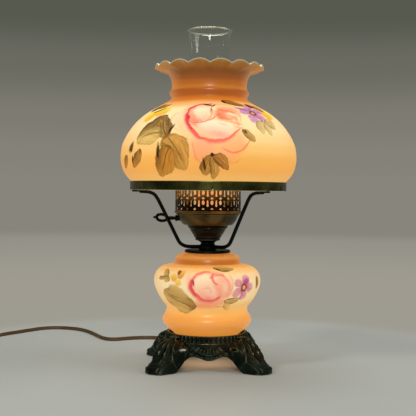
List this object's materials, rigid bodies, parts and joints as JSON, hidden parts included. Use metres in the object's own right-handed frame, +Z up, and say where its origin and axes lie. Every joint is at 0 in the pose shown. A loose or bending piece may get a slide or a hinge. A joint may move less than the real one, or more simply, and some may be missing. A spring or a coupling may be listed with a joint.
{
  "type": "oil lamp",
  "caption": "Electric table lamp in oil lamp form: footed cast base, painted glass font and dome shade, clear chimney, perforated burner with a turning key switch.",
  "frame": {"origin": "on the table under the lamp's axis, at the centre of the four feet", "axes": "+Z up along the pipe and chimney; -Y is the painted front; the switch key points along -X"},
  "size_m": [0.5404, 0.4334, 0.4417],
  "materials": {
    "base_bronze": "cast, antique bronze wash with rubbed brassy edges",
    "steel_hardware": "zinc and brass plated",
    "cord_brown": "flat brown vinyl twin cord",
    "gasket_rubber": "soft ring",
    "font_milk_glass": "opal glass, hand painted, lit from inside",
    "shade_milk_glass": "opal glass, hand painted, lit from inside",
    "dark_bronze": "dark antique bronze, satin",
    "ring_brass": "antique brass, satin",
    "burner_brass": "antique brass, spun",
    "gallery_brass": "antique brass, perforated sheet",
    "chimney_glass": "clear, polished",
    "socket_brass": "plain brass sheet",
    "black_phenolic": "moulded",
    "sleeve_cream": "cream paper sleeve",
    "bulb_glass": "frosted",
    "stem_glass": "clear lamp glass",
    "bulb_cap_metal": "rolled thread",
    "filament_wire": "coiled wire",
    "night_socket_plastic": "candelabra socket",
    "plug_brown": "moulded vinyl",
    "blade_brass": "stamped"
  },
  "bodies": {
    "lamp_body": {"cast_base": "base_bronze", "base_washer": "steel_hardware", "base_nut": "steel_hardware", "center_pipe": "steel_hardware", "riser_leads": "cord_brown", "font_seat_gasket": "gasket_rubber", "font_glass": "font_milk_glass", "font_cap": "dark_bronze", "arm_hub": "dark_bronze", "shade_arm_left": "dark_bronze", "shade_arm_right": "dark_bronze", "shade_arm_rear": "dark_bronze", "shade_ring": "ring_brass", "burner_neck": "dark_bronze", "burner_lower_cup": "burner_brass", "burner_locknut": "steel_hardware", "burner_bowl": "burner_brass", "gallery": "gallery_brass", "chimney_springs": "socket_brass", "socket_cap": "socket_brass", "socket_body": "black_phenolic", "socket_sleeve": "sleeve_cream", "socket_screw_shell": "socket_brass", "socket_contact": "socket_brass", "main_bulb_cap": "bulb_cap_metal", "main_bulb_glass": "bulb_glass", "main_bulb_stem": "stem_glass", "main_bulb_filament": "filament_wire", "key_bushing": "dark_bronze", "night_bracket": "steel_hardware", "night_socket": "night_socket_plastic", "night_bulb_cap": "bulb_cap_metal", "night_bulb_glass": "bulb_glass", "night_bulb_filament": "filament_wire", "night_leads": "cord_brown", "inner_cord": "cord_brown", "cord_strain_relief": "black_phenolic", "cord": "cord_brown", "cord_coil": "cord_brown", "cord_tail": "cord_brown", "cord_tie": "black_phenolic", "plug_body": "plug_brown", "plug_blades": "blade_brass"},
    "switch_key": {"key_shaft": "dark_bronze", "key_loop": "dark_bronze", "switch_rotor": "black_phenolic"},
    "chimney": {"chimney": "chimney_glass"},
    "shade": {"shade_glass": "shade_milk_glass"}
  },
  "joints": [
    {"name": "switch_key_turn", "type": "hinge", "parent": "lamp_body", "child": "switch_key", "pos_m": [-0.04, 0, 0.193], "axis": [-1, 0, 0], "continuous": true},
    {"name": "chimney_lift", "type": "slide", "parent": "lamp_body", "child": "chimney", "axis": [0, 0, 1], "range_m": [0, 0.25]},
    {"name": "shade_lift", "type": "slide", "parent": "lamp_body", "child": "shade", "axis": [0, 0, 1], "range_m": [0, 0.22]}
  ]
}
